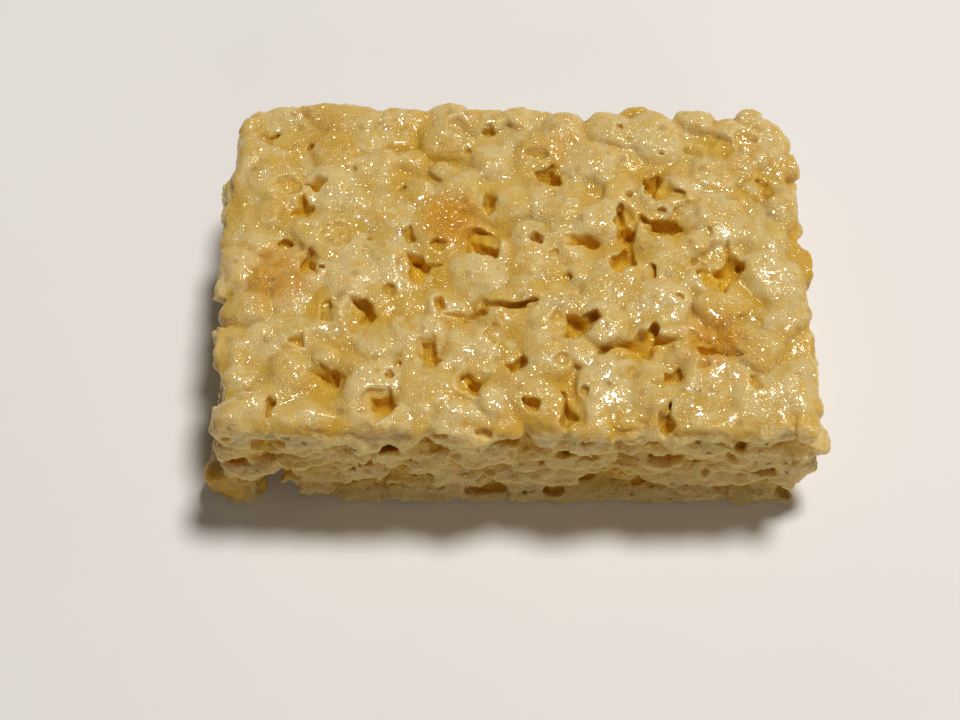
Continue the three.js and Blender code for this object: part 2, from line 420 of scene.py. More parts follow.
def pack_ring(ring):
    """The puffs of one ring, staggered against the ring below."""
    draw = Draws(RING_SEED + ring)
    stagger = RING_STAGGER if ring % 2 else -RING_STAGGER
    puffs = []
    for face in CUT_FACES:
        count = round(face["length"] / RING_PITCH)
        c, s = math.cos(face["turn"]), math.sin(face["turn"])
        for i in range(count):
            step = (i + 0.5 + stagger) / count - 0.5
            along = step * face["length"] + draw.either(RING_UNEVENNESS["along"])
            outward = face["distance"] - RING_INSET - draw.either(RING_UNEVENNESS["inset"])
            z = PUFF[2] / 2 + ring * RING_RISE + draw.either(RING_UNEVENNESS["height"])
            yaw = face["turn"] + draw.either(RING_UNEVENNESS["yaw"])
            tilt = draw.either(MAX_TILT)
            size = 1 + draw.either(SIZE_SPREAD)
            puffs.append(Puff(along * c + outward * s, along * s - outward * c, z, yaw, tilt, size))
    return puffs


def soft_min(a, b, softness):
    """The smaller of two distances, rounded off where they are close."""
    share = np.clip(0.5 + 0.5 * (b - a) / softness, 0, 1)
    return b + (a - b) * share - softness * share * (1 - share)


def soft_max(a, b, softness):
    return -soft_min(-a, -b, softness)


def smooth_step(values, low, high):
    """Rises from 0 at low to 1 at high."""
    share = np.clip((values - low) / (high - low), 0, 1)
    return share * share * (3 - 2 * share)


class Field:
    """Distances from the surface of the mass on a grid, less than nothing inside it."""

    def __init__(self):
        counts = np.ceil((GRID_HIGH - GRID_LOW) / VOXEL).astype(int)
        self.axes = [GRID_LOW[i] + VOXEL * np.arange(counts[i], dtype=np.float32) for i in range(3)]
        self.distance = np.full(counts, FAR, np.float32)
        self.nearest = np.full(counts, FAR, np.float32)
        self.owner = np.zeros(counts, np.int16)
        self.warp = [WARP * self.noise(kind) for kind in ("warp x", "warp y", "warp z")]
        self.ragged = HOLLOW_LUMPS * self.noise("hollow lumps") + HOLLOW_GRAIN * self.noise("hollow grain")
        self.lumps = PUFF_LUMPS * self.noise("puff lumps") + PUFF_GRAIN * self.noise("puff grain")

    def noise(self, name):
        """Smooth noise of the named kind over the grid, from -1 to 1."""
        kind = NOISES[name]
        places = [(axis - axis[0]) / (kind.cell * s) for axis, s in zip(self.axes, kind.stretch)]
        rng = np.random.default_rng(kind.seed)
        values = rng.uniform(-1, 1, [int(p[-1]) + 2 for p in places]).astype(np.float32)
        for i, place in enumerate(places):
            below = place.astype(int)
            part = place - below
            share = (part * part * (3 - 2 * part)).reshape([-1 if k == i else 1 for k in range(3)])
            low = np.take(values, below, axis=i)
            values = low + (np.take(values, below + 1, axis=i) - low) * share
        return values

    def around(self, centre, reach):
        """Slices of the grid within reach of a centre, and the warped offsets there from it."""
        slices = []
        for i, axis in enumerate(self.axes):
            first = max(0, int((centre[i] - reach[i] - axis[0]) / VOXEL))
            last = min(len(axis), int((centre[i] + reach[i] - axis[0]) / VOXEL) + 2)
            slices.append(slice(first, last))
        slices = tuple(slices)
        offsets = []
        for i, axis in enumerate(self.axes):
            line = (axis[slices[i]] - centre[i]).reshape([-1 if k == i else 1 for k in range(3)])
            offsets.append(line + self.warp[i][slices])
        return slices, offsets

    def at(self, grid, points):
        """A grid's values at points in millimetres, from the nearest voxel."""
        index = np.rint((points - GRID_LOW) / VOXEL).astype(int)
        index = np.clip(index, 0, np.array(grid.shape) - 1)
        return grid[index[:, 0], index[:, 1], index[:, 2]]


def lump_distance(offsets, axes, half):
    """About how far offsets from a lump's centre lie outside it, an ellipsoid squared off a little."""
    scaled = []
    for i in range(3):
        along = offsets[0] * axes[0, i] + offsets[1] * axes[1, i] + offsets[2] * axes[2, i]
        scaled.append(np.abs(along) / half[i])
    size = np.cbrt(sum(s * s * s for s in scaled)) + 1e-3
    slope = sum(((s / size) ** 2 / h) ** 2 for s, h in zip(scaled, half))
    return (size - 1) / np.sqrt(slope + 1e-6)


def slab_edge(field):
    """How far each place in plan lies outside the slab's outline with its worn corners."""
    x = field.axes[0][:, None]
    y = field.axes[1][None, :]
    front = np.where(x < 0, CORNER_RADII["front_left"], CORNER_RADII["front_right"])
    back = np.where(x < 0, CORNER_RADII["back_left"], CORNER_RADII["back_right"])
    radius = np.where(y < 0, front, back)
    past_x = np.abs(x) - (LENGTH / 2 - radius)
    past_y = np.abs(y) - (DEPTH / 2 - radius)
    outside = np.hypot(np.maximum(past_x, 0), np.maximum(past_y, 0))
    edge = outside + np.minimum(np.maximum(past_x, past_y), 0) - radius
    return edge.astype(np.float32)[:, :, None]


def layers(field):
    """How many torn layers lie below each place, counted from the pan."""
    z = field.axes[2][None, None, :]
    near_cut = smooth_step(slab_edge(field), *TEETH_REACH)
    broad = FLAKE["wander"] * smooth_step(z, *FLAKE_WANDERS) * field.noise("layer wander")
    teeth = FLAKE["teeth"] * near_cut * field.noise("lip teeth")
    return (z + broad + teeth) / FLAKE["rise"]


def lips(layer):
    """Sloping ledges that end in a lip at the foot of each layer, from -0.5 to 0.5."""
    part = layer - np.floor(layer)
    return np.minimum(part / FLAKE["undercut"], (1 - part) / (1 - FLAKE["undercut"])) - 0.5


def torn_edge(field, layer):
    """The slab's outline as the knife tore it: ragged lips hang over the pockets below them."""
    z = field.axes[2][None, None, :]
    flakes = FLAKE["lip"] * np.clip(0.3 + field.noise("lip reach"), 0, 1) * lips(layer)
    shred = (z + SHRED["wander"] * field.noise("shred wander")) / SHRED["rise"]
    shreds = SHRED["lip"] * (0.5 + 0.5 * field.noise("shred reach")) * lips(shred)
    crumb = field.noise("coarse crumb") + field.noise("crumb") + FINE_CRUMB * field.noise("fine crumb")
    torn = (flakes + shreds) * smooth_step(HEIGHT - z, *LIP_FADE)
    torn = torn + FOOT_FLARE * smooth_step(z, *FOOT_FLARE_RISE)
    return slab_edge(field) + CUT_WAVE * field.noise("cut waves") - torn + CRUMB * crumb


def fuse(field, edge, puff, number, tear, corner=TORN_CORNER, lean=0.0, lumps=1.0):
    """Adds one puff to the mass, torn off this far inside the torn outline, less at its lower side."""
    half = np.array(PUFF) * puff.size / 2
    reach = [half[0] + FAR] * 2 + [half[2] + FAR]
    where, offsets = field.around((puff.x, puff.y, puff.z), reach)
    distance = lump_distance(offsets, turned_axes(puff.yaw, puff.tilt), half)
    distance = distance + lumps * field.lumps[where]
    distance = soft_max(distance, edge[where] + tear + lean * offsets[2] / half[2], corner)
    field.distance[where] = soft_min(field.distance[where], distance, BOND)
    mine = distance < field.nearest[where]
    field.nearest[where] = np.minimum(field.nearest[where], distance)
    field.owner[where][mine] = number


def in_back_row(puff):
    """True for the larger top puffs along the back edge."""
    along = abs(puff.x) < BACK_ROW["half_length"] and puff.size > BACK_ROW["least_size"]
    return along and BACK_ROW["from"] < puff.y < BACK_ROW["to"]


def fuse_puffs(field, edge, puffs):
    """Every puff of the mass, each torn off at its own depth where the knife met it."""
    draw = Draws(TEAR_SEED)
    for number, puff in enumerate(puffs):
        tear = draw.between(*TEAR)
        lean = draw.between(*TORN_LEAN)
        if puff.z < TOP_LAYER:
            fuse(field, edge, puff, number, tear, lean=lean, lumps=TORN_LUMPS)
        elif in_back_row(puff):
            fuse(field, edge, puff, number, -BACK_REACH, BACK_CORNER)
        else:
            corner = BACK_CORNER if puff.y > BACK_ROW["from"] else TORN_CORNER
            fuse(field, edge, puff, number, draw.between(*TOP_TEAR), corner)


def fuse_strays(field, edge):
    """The puffs that stick out past the cut, which the knife left whole."""
    for stray in GLAZED_STRAYS:
        fuse(field, edge, stray, GLAZED_NUMBER, -STRAY_REACH)
    fuse(field, edge, TORN_STRAY, 0, -TORN_STRAY_REACH, lean=TORN_LEAN[1], lumps=TORN_LUMPS)


def fill_between(field, edge):
    """Marshmallow fills the mass to a little below its top and its cut faces."""
    z = field.axes[2][None, None, :]
    level = HEIGHT - FILL["depth"] + FILL["depth_waves"] * field.noise("fill depth")
    inset = FILL["inset"] + FILL["inset_waves"] * field.noise("fill inset")
    inset = inset * smooth_step(z, -1, FOOT_HEIGHT)
    fill = np.maximum(edge + inset, z - level)
    field.distance = soft_min(field.distance, fill, FILL["bond"])


def press(field):
    """The pan leaves the underside flat, the press flattens the highest puffs, and the rim is worn."""
    y = field.axes[1][None, :, None]
    z = field.axes[2][None, None, :]
    worn = RIM["wear"] * smooth_step(slab_edge(field), RIM["inner"], RIM["outer"])
    worn = worn * (RIM["waves"] + RIM["waves"] * field.noise("rim wear"))
    worn = worn * (1 - RIM_BACK["kept"] * smooth_step(y, RIM_BACK["from"], RIM_BACK["to"]))
    top = HEIGHT + PRESS["above"] + PRESS["waves"] * field.noise("press waves")
    top = top + PRESS["grain"] * field.noise("press grain") - worn
    field.distance = soft_max(field.distance, z - top, PRESS["softness"])
    field.distance = np.maximum(field.distance, -z)


def corner_plan(along, across, draw):
    """How far outside a gap's plan of three to five straggling sides, in shares of its half width."""
    sides = 3 + int(3 * draw())
    first = draw() * math.tau
    outside = (along**2 + across**2) ** 0.5 - GAP_PLAN["reach"]
    for i in range(sides):
        angle = first + (i + draw.either(GAP_PLAN["uneven"])) * math.tau / sides
        bulge = across * math.cos(angle) - along * math.sin(angle)
        side = along * math.cos(angle) + across * math.sin(angle) - GAP_PLAN["bulge"] * bulge**2
        outside = np.maximum(outside, side - GAP_PLAN["side"] - GAP_PLAN["per_side"] * sides)
    return outside


def hollow_out(field, centre, axes, half, softness=HOLLOW_RIM, ragged=1.0, open_above=False):
    """Takes one hollow with ragged walls out of the mass."""
    where, offsets = field.around(centre, [max(half) + HOLLOW_MARGIN] * 3)
    if open_above:
        offsets[2] = np.minimum(offsets[2], 0)
    hollow = lump_distance(offsets, axes, half) + ragged * field.ragged[where]
    field.distance[where] = soft_max(field.distance[where], -hollow, softness)


def open_dishes(field):
    """The top sinks a little round each of the larger gaps."""
    draw = Draws(GAP_DISH["seed"])
    for x, y, length, width, degrees in TOP_GAPS:
        half = (GAP_DISH["length"] * length, GAP_DISH["width"] * width, GAP_DISH["depth"])
        centre = (x + draw.either(width / 2), y + draw.either(width / 2), HEIGHT - GAP_DISH["sunk"])
        axes = turned_axes(math.radians(degrees))
        hollow_out(field, centre, axes, half, GAP_DISH["softness"], open_above=True)


def open_gaps(field):
    """Sharp-edged gaps go down between the top puffs and narrow with depth."""
    draw = Draws(GAP["seed"])
    wander = field.noise("gap wander") * GAP["wander"] + field.noise("gap grain") * GAP["grain"]
    for x, y, length, width, degrees in TOP_GAPS + SMALL_GAPS:
        depth = GAP["depth"] * min(1.0, 0.4 + width / 4)
        where, offsets = field.around((x, y, HEIGHT), (length + 1, length + 1, depth + 3))
        c, s = math.cos(math.radians(degrees)), math.sin(math.radians(degrees))
        along = (offsets[0] * c + offsets[1] * s) / (length / 2)
        across = (offsets[1] * c - offsets[0] * s) / (width / 2)
        hole = corner_plan(along, across, draw) * width / 2 + wander[where]
        hole = hole - GAP["taper"] * np.clip(offsets[2] + depth / 2, -depth, 2)
        hole = soft_max(hole, -depth - offsets[2], GAP["floor"])
        field.distance[where] = soft_max(field.distance[where], -hole, GAP["rim"])


def open_pits(field):
    """Bubbles that burst in the skin of the top leave small pits, and others soft dents."""
    for kind in PITS:
        draw = Draws(kind["seed"])
        low, high = kind["radius"]
        for _ in range(kind["count"]):
            x = draw.either(LENGTH / 2 - PIT_MARGIN)
            y = draw.either(DEPTH / 2 - PIT_MARGIN)
            radius = low + (high - low) * draw() ** 2
            i = int((x - GRID_LOW[0]) / VOXEL)
            j = int((y - GRID_LOW[1]) / VOXEL)
            solid = np.nonzero(field.distance[i, j] < 0)[0]
            top = GRID_LOW[2] + VOXEL * solid[-1]
            axes = turned_axes(draw() * math.pi, draw.either(PIT_TILT))
            half = radius * np.array([1 + PIT_STRETCH * draw(), 1.0, kind["flatness"]])
            hollow_out(field, (x, y, top), axes, half, kind["softness"], open_above=True)


def open_pockets(field):
    """Pockets where the tearing pulled puffs out of the cut faces."""
    for kind in POCKETS:
        draw = Draws(kind["seed"])
        for face in CUT_FACES:
            c, s = math.cos(face["turn"]), math.sin(face["turn"])
            axes = np.array([[c, s, 0.0], [s, -c, 0.0], [0.0, 0.0, 1.0]])
            kept = []
            for _ in range(POCKET_THROWS):
                along = draw.either(face["length"] / 2 - POCKET_MARGIN)
                z = POCKET_LOWEST + draw() * (HEIGHT - POCKET_LOWEST - kind["below"])
                half = [draw.between(*kind[way]) for way in ("along", "deep", "up")]
                if any((a - along) ** 2 + 2 * (b - z) ** 2 < kind["spacing"] ** 2 for a, b in kept):
                    continue
                kept.append((along, z))
                out = face["distance"] - POCKET_INSET
                hollow_out(field, (along * c + out * s, along * s - out * c, z), axes, half)
    c, s = math.cos(POCKET_SLOPE), math.sin(POCKET_SLOPE)
    axes = np.array([[1.0, 0.0, 0.0], [0.0, s, c], [0.0, c, -s]])
    for x, z, along, across, down in FRONT_POCKETS:
        hollow_out(field, (x, -DEPTH / 2, z), axes, (along, across, down))


def open_bites(field):
    """The bites out of the front's lower edge."""
    for x, along, up, deep in BITES:
        hollow_out(field, (x, -DEPTH / 2, 0), np.eye(3), (along, deep, up), ragged=BITE_RAGGED)


def mass_field(puffs):
    """The whole mass with its torn outline, and the fields that part it into its three pieces."""
    field = Field()
    layer = layers(field)
    edge = torn_edge(field, layer)
    fuse_puffs(field, edge, puffs)
    fuse_strays(field, edge)
    fill_between(field, edge)
    press(field)
    field.whole = field.distance.copy()
    open_dishes(field)
    open_gaps(field)
    open_pits(field)
    open_pockets(field)
    open_bites(field)
    fuse_strays(field, edge)
    field.distance = np.maximum(field.distance, -field.axes[2][None, None, :])
    wave = PARTING_WAVE * field.noise("parting")
    under = (SEAM_LAYER - layer) * FLAKE["rise"]
    under = under - SEAM_SINK * smooth_step(-slab_edge(field), *SEAM_SINKS)
    behind = field.axes[1][None, :, None] - SIDE_PARTING + wave
    parts = {
        "glazed_top": under,
        "torn_front": np.maximum(-under, behind),
        "torn_back": np.maximum(-under, -behind),
    }
    return field, edge, parts


def link(name, data):
    """A new object of the scene that shows this mesh, lamp or camera."""
    obj = bpy.data.objects.new(name, data)
    bpy.context.scene.collection.objects.link(obj)
    return obj


def points_of(mesh):
    """The mesh's points in metres, one to a row."""
    points = np.empty(len(mesh.vertices) * 3, np.float32)
    mesh.vertices.foreach_get("co", points)
    return points.reshape(-1, 3)


def settle(obj):
    """Turns the object's evaluated form into a plain mesh, flat on the pan, and drops its modifiers."""
    rough = obj.data
    evaluated = obj.evaluated_get(bpy.context.evaluated_depsgraph_get())
    obj.data = bpy.data.meshes.new_from_object(evaluated)
    obj.data.name = obj.name
    obj.modifiers.clear()
    bpy.data.meshes.remove(rough)
    points = points_of(obj.data)
    points[:, 2] = np.maximum(points[:, 2], 0)
    obj.data.vertices.foreach_set("co", points.ravel())
    obj.data.validate()


def surface_of(distance, name):
    """The surface of a field of distances as a closed mesh in metres."""
    grid = openvdb.FloatGrid(FAR)
    grid.copyFromArray(distance)
    points, quads = grid.convertToQuads(0.0)
    mesh = bpy.data.meshes.new(name)
    mesh.from_pydata((points * VOXEL + GRID_LOW) * METRES, [], quads)
    mesh.shade_smooth()
    return link(name, mesh)


def thin_out(obj):
    """Applies the object's modifiers and thins it to a fair number of triangles."""
    thin = obj.modifiers.new("thin", "DECIMATE")
    thin.ratio = min(1.0, MOST_TRIANGLES / (2 * len(obj.data.polygons)))
    settle(obj)


def add_attribute(mesh, name, values):
    mesh.attributes.new(name, "FLOAT", "POINT").data.foreach_set("value", values.astype(np.float32))


def mark_surface(obj, field, edge):
    """Writes what the skin and the finish need to know about each place on the surface."""
    points = points_of(obj.data) / METRES
    inside = -field.at(edge, points)
    below = HEIGHT - points[:, 2]
    tints = np.random.default_rng(TINT_SEED).uniform(-1, 1, PUFF_NUMBERS)
    toast = np.zeros(len(points))
    for x, y, radius, strength in TOASTED:
        away = np.hypot(points[:, 0] - x, points[:, 1] - y) / radius
        toast = np.maximum(toast, strength * np.clip(TOAST_EDGE - away, 0, 1))
    owner = field.at(field.owner, points)
    torn = smooth_step(inside, *TORN_FINISH)
    rim = below + GLAZE_EDGE["waves"] * field.at(field.noise("glaze edge"), points)
    side = torn * smooth_step(rim, GLAZE_EDGE["from"], GLAZE_EDGE["to"]) * (owner != GLAZED_NUMBER)
    add_attribute(obj.data, "tint", tints[owner])
    add_attribute(obj.data, "toast", toast * np.clip(1 - below / TOAST_DEPTH, 0, 1))
    add_attribute(obj.data, "side", side)
    # below, inset and carved also set where the finish paints shade into valleys, hollows, gaps and pockets
    add_attribute(obj.data, "below", below)
    add_attribute(obj.data, "inset", -field.at(slab_edge(field), points))
    add_attribute(obj.data, "carved", np.clip(-field.at(field.whole, points), 0, 10))
    add_attribute(obj.data, "skin", smooth_step(field.at(field.distance, points), *SKIN_EDGE))


class Link:
    """A node's output that takes part in Python arithmetic: each operation adds a Math node."""

    def __init__(self, graph, socket):
        self.graph = graph
        self.socket = socket

    def math(self, operation, *values):
        sockets = dict(enumerate(values))
        return self.graph.node("ShaderNodeMath", {"operation": operation}, sockets)

    def __add__(self, other):
        return self.math("ADD", self, other)

    def __radd__(self, other):
        return self.math("ADD", other, self)

    def __sub__(self, other):
        return self.math("SUBTRACT", self, other)

    def __rsub__(self, other):
        return self.math("SUBTRACT", other, self)

    def __mul__(self, other):
        return self.math("MULTIPLY", self, other)

    def __rmul__(self, other):
        return self.math("MULTIPLY", other, self)

    def __truediv__(self, other):
        return self.math("DIVIDE", self, other)

    def __rtruediv__(self, other):
        return self.math("DIVIDE", other, self)

    def clamped(self):
        return self.graph.node("ShaderNodeClamp", {}, {"Value": self})


class Graph:
    """A node tree; node() adds any node and gives one of its outputs."""

    def __init__(self, tree):
        self.tree = tree

    def node(self, kind, settings=None, sockets=None, output=0):
        node = self.tree.nodes.new(kind)
        for name, value in (settings or {}).items():
            setattr(node, name, value)
        for name, value in (sockets or {}).items():
            socket = node.inputs[name]
            if isinstance(value, Link):
                self.tree.links.new(value.socket, socket)
            else:
                socket.default_value = value
        return Link(self, node.outputs[output]) if node.outputs else node

    def ramp(self, value, low, high):
        sockets = {"Value": value, "From Min": low, "From Max": high}
        return self.node("ShaderNodeMapRange", {"interpolation_type": "SMOOTHSTEP"}, sockets)

    def vectors(self, operation, first, second, output="Vector"):
        return self.node("ShaderNodeVectorMath", {"operation": operation}, {0: first, 1: second}, output)


class Recipe(Graph):
    """A Geometry Nodes tree with named inputs for its sizes, given in millimetres."""

    def __init__(self, name, sizes):
        super().__init__(bpy.data.node_groups.new(name, "GeometryNodeTree"))
        self.sizes = {label: size * METRES for label, size in sizes.items()}
        sockets = self.tree.interface
        sockets.new_socket("Geometry", in_out="INPUT", socket_type="NodeSocketGeometry")
        for label in sizes:
            sockets.new_socket(label, in_out="INPUT", socket_type="NodeSocketFloat")
        sockets.new_socket("Geometry", in_out="OUTPUT", socket_type="NodeSocketGeometry")
        self.start = self.tree.nodes.new("NodeGroupInput")
        self.place = self.node("GeometryNodeInputPosition")
        self.normal = self.node("GeometryNodeInputNormal")

    def input(self, label):
        return Link(self, self.start.outputs[label])

    def attribute(self, name):
        return self.node("GeometryNodeInputNamedAttribute", {"data_type": "FLOAT"}, {"Name": name})

    def noise(self, size_mm):
        sockets = {"Vector": self.place, "Scale": 1 / (size_mm * METRES), "Detail": 2.0}
        return self.node("ShaderNodeTexNoise", {}, sockets)

    def domes(self, size):
        """Rounded cells about size across: 1 at the middle of each, 0 where they meet."""
        sockets = {"Vector": self.place, "Scale": 1 / size}
        away = self.node("ShaderNodeTexVoronoi", {"feature": "F1"}, sockets, "Distance") / DOME_RIM
        return (1 - away * away).clamped()

    def along(self, direction, amount):
        return self.node("ShaderNodeVectorMath", {"operation": "SCALE"}, {0: direction, "Scale": amount})

    def shift(self, geometry, offset):
        return self.node("GeometryNodeSetPosition", {}, {"Geometry": geometry, "Offset": offset})

    def between(self, low, high, seed):
        """A random vector for each point."""
        sockets = {0: low, 1: high, "Seed": seed}
        return self.node("FunctionNodeRandomValue", {"data_type": "FLOAT_VECTOR"}, sockets)

    def scatter(self, geometry, spacing, density, seed):
        """Points on the faces of a mesh no closer than spacing, and the rotation of the face at each."""
        sockets = {"Mesh": geometry, "Distance Min": spacing, "Density Factor": density, "Seed": seed}
        sockets["Density Max"] = 1 / (spacing * spacing)
        settings = {"distribute_method": "POISSON"}
        points = self.node("GeometryNodeDistributePointsOnFaces", settings, sockets, "Points")
        return points, Link(self, points.socket.node.outputs["Rotation"])

    def end(self, geometry, material):
        """Makes the result real mesh in one material."""
        real = self.node("GeometryNodeRealizeInstances", {}, {"Geometry": geometry})
        dressed = self.node("GeometryNodeSetMaterial", {}, {"Geometry": real, "Material": material})
        self.node("NodeGroupOutput", {}, {"Geometry": dressed})

    def use_on(self, obj):
        modifier = obj.modifiers.new(self.tree.name, "NODES")
        modifier.node_group = self.tree
        for item in self.tree.interface.items_tree:
            if item.in_out == "INPUT" and item.name in self.sizes:
                modifier[item.identifier] = self.sizes[item.name]


def colour(red, green, blue):
    """A colour given as it looks on screen, from 0 to 255, for a shader's socket."""
    parts = [c / 255 for c in (red, green, blue)]
    return tuple(c / 12.92 if c <= 0.04045 else ((c + 0.055) / 1.055) ** 2.4 for c in parts) + (1.0,)


STRAW = colour(219, 185, 106)
PALE_STRAW = colour(224, 199, 138)
DEEP_STRAW = colour(213, 169, 62)
BUBBLE_TAN = colour(192, 148, 82)
TOASTED_TAN = colour(210, 148, 26)
PALE_CRUMB = colour(237, 207, 139)
# Painted shade for hollows, gaps and pockets
HOLLOW_SHADE_OCHRE = colour(222, 174, 48)
DEEP_HOLLOW_SHADE = colour(226, 167, 18)
TORN_SHADE_BROWN = colour(124, 88, 30)
PAPER = colour(239, 235, 232)
PALE_PAPER = colour(243, 240, 237)


class Finish(Graph):
    """A material whose Principled shader is set from constants and from its own nodes."""

    def __init__(self, name, constants):
        self.material = bpy.data.materials.new(name)
        self.material.use_nodes = True
        super().__init__(self.material.node_tree)
        self.shader = self.tree.nodes["Principled BSDF"]
        for socket, value in constants.items():
            self.shader.inputs[socket].default_value = value
        self.place = self.node("ShaderNodeTexCoord", output="Object")

    def attribute(self, name):
        return self.node("ShaderNodeAttribute", {"attribute_name": name}, output="Fac")

    def noise(self, per_mm, detail=3.0):
        sockets = {"Vector": self.place, "Scale": per_mm / METRES, "Detail": detail, "Roughness": 0.55}
        return self.node("ShaderNodeTexNoise", {}, sockets, "Fac")

    def facets(self, size_mm):
        """Small cells that each lean their own way and sink where they meet."""
        sockets = {"Vector": self.place, "Scale": 1 / (size_mm * METRES)}
        lean = self.node("ShaderNodeTexVoronoi", {"feature": "F1"}, sockets, "Color")
        centre = Link(self, lean.socket.node.outputs["Position"])
        lean = self.vectors("SUBTRACT", lean, MIDDLE)
        offset = self.vectors("SUBTRACT", self.place, centre)
        height = self.vectors("DOT_PRODUCT", lean, offset, "Value") / (size_mm * METRES)
        rim = self.node("ShaderNodeTexVoronoi", {"feature": "DISTANCE_TO_EDGE"}, sockets, "Distance")
        return height * self.ramp(rim, 0.0, 0.16)

    def spots(self, size_mm):
        """Soft round spots, one in about every third cell."""
        sockets = {"Vector": self.place, "Scale": 1 / (size_mm * METRES)}
        pick = self.node("ShaderNodeTexVoronoi", {"feature": "F1"}, sockets, "Color")
        away = Link(self, pick.socket.node.outputs["Distance"])
        return self.ramp(away, 0.34, 0.14) * self.ramp(pick, 0.52, 0.6)

    def mix(self, share, first, second):
        sockets = {"Factor": share, 6: first, 7: second}
        return self.node("ShaderNodeMix", {"data_type": "RGBA"}, sockets, 2)

    def bump(self, height, distance_mm, strength, below=None):
        sockets = {"Height": height, "Distance": distance_mm * METRES, "Strength": strength}
        if below is not None:
            sockets["Normal"] = below
        return self.node("ShaderNodeBump", {}, sockets)

    def set(self, **links):
        for socket, value in links.items():
            self.tree.links.new(value.socket, self.shader.inputs[socket.replace("_", " ")])


def glazed_colour(finish, fine):
    """Straw in deeper and paler patches, painted shade that deepens it in the valleys below the top,
    toasted places, and tan bubbles under the skin.
    """
    tint = finish.attribute("tint")
    glazed = 1 - finish.attribute("side")
    # Painted shade: the valleys below the top go towards deep straw and lose their pale patches
    valley_shade = finish.ramp(finish.attribute("below"), 0.3, 2.2) * glazed
    broad = finish.noise(0.16, detail=2.0)
    deep = finish.ramp(0.15 + 0.7 * broad + tint * 0.1 + valley_shade * 0.45, 0.45, 0.92)
    base = finish.mix(deep, STRAW, DEEP_STRAW)
    mottle = finish.noise(0.45, detail=2.0)
    pale = finish.ramp(mottle - tint * 0.12 - valley_shade * 0.35, 0.4, 0.64)
    base = finish.mix(pale * 0.9, base, PALE_STRAW)
    browned = finish.ramp(finish.attribute("toast") * (0.4 + fine), 0.15, 0.9)
    base = finish.mix(browned * 0.9, base, TOASTED_TAN)
    return finish.mix(finish.spots(2.6) * glazed * 0.6, base, BUBBLE_TAN)


def torn_colour(finish, base, fine, crumb, gap):
    """Pale crumb on the torn faces, then painted shade: ochre further in and in hollows, brown deep in gaps
    and pockets, and browner towards the bottom of the torn faces.
    """
    side = finish.attribute("side")
    carved = finish.attribute("carved")
    below = finish.attribute("below")
    inset = finish.attribute("inset") + fine
    base = finish.mix(crumb * 0.8, base, PALE_CRUMB)
    # Painted shade: ochre where the torn face lies further in, and in carved hollows
    base = finish.mix(finish.ramp(inset, 0.6, 2.0) * side * 0.85, base, HOLLOW_SHADE_OCHRE)
    base = finish.mix(finish.ramp(carved, 0.2, 1.6) * (1 - 0.5 * crumb), base, HOLLOW_SHADE_OCHRE)
    # Painted shade: golden brown deep in gaps, pits and pockets
    base = finish.mix(gap, base, DEEP_HOLLOW_SHADE)
    # Painted shade: brown deep in the pockets of the torn faces, and darker towards the bottom of the torn
    # faces
    pocket_shade = finish.ramp(carved + 0.3 * inset, 1.8, 4.0)
    pocket_shade = pocket_shade * finish.ramp(below, 3.5, 6.0) * finish.ramp(inset, 8, 5)
    foot = finish.ramp(below, 6, 24) * side
    return finish.mix(pocket_shade * 0.9 + foot * 0.2, base, TORN_SHADE_BROWN)


def sticky_relief(finish, fine, crumb):
    """Relief too fine for the mesh: small unevenness, sugary facets, and rough crumb where it was torn."""
    bubbly = finish.ramp(finish.noise(0.22) + finish.attribute("tint") * 0.1, 0.4, 0.62)
    normal = finish.bump(fine, 0.22, 0.25)
    normal = finish.bump(finish.facets(0.38) * (0.45 + 0.55 * bubbly), 0.42, 0.8, normal)
    return finish.bump(finish.noise(1.8, detail=4.0) * crumb, 0.5, 0.9, normal)


def marshmallow_finish(name, translucency):
    """Straw-coloured marshmallow and puffed rice: sticky and shiny on top, matt where it was torn."""
    finish = Finish(
        name,
        {
            "Subsurface Weight": translucency,
            "Subsurface Radius": (1.0, 0.75, 0.35),
            "Subsurface Scale": 2.3 * METRES,
            "IOR": 1.45,
            "Specular Tint": (1.0, 0.94, 0.78, 1.0),
            "Coat Roughness": 0.05,
            "Coat IOR": 1.5,
        },
    )
    fine = finish.noise(1.1)
    crumb = finish.ramp(finish.attribute("side") * (0.7 + 0.6 * fine), 0.35, 0.9)
    # How deep a place lies in a gap: it sets painted shade in the colour and takes away the coat
    gap = finish.ramp(finish.attribute("carved"), 1.6, 4.5)
    syrup = finish.ramp(finish.noise(0.35), 0.48, 0.66)
    finish.set(
        Base_Color=torn_colour(finish, glazed_colour(finish, fine), fine, crumb, gap),
        Roughness=0.14 + 0.28 * crumb,
        Coat_Weight=syrup * (0.8 - 0.6 * crumb) * (1 - gap),
        Normal=sticky_relief(finish, fine, crumb),
    )
    return finish.material


def paper_finish():
    finish = Finish("plain_paper", {"Roughness": 0.9, "Specular IOR Level": 0.2})
    mottle = finish.noise(0.02, detail=4.0)
    finish.set(Base_Color=finish.mix(mottle, PAPER, PALE_PAPER))
    return finish.material


def bubble_skin(obj, material):
    """Blisters and bubbles in the skin of the mass, and open foam where it was torn."""
    recipe = Recipe("bubbled_skin", SKIN_SIZES)
    side = recipe.attribute("side")
    patches = recipe.ramp(recipe.noise(BUBBLY_PATCH), 0.35, 0.65)
    blisters = recipe.domes(recipe.input("Blister Size")) * recipe.input("Blister Height")
    bubbles = recipe.domes(recipe.input("Bubble Size"))
    raised = bubbles * recipe.input("Bubble Height") * patches * (1 - side)
    foam = (1 - bubbles) * recipe.input("Foam Depth") * side
    height = recipe.attribute("skin") * (blisters + raised + foam)
    recipe.end(recipe.shift(recipe.input("Geometry"), recipe.along(recipe.normal, height)), material)
    recipe.use_on(obj)


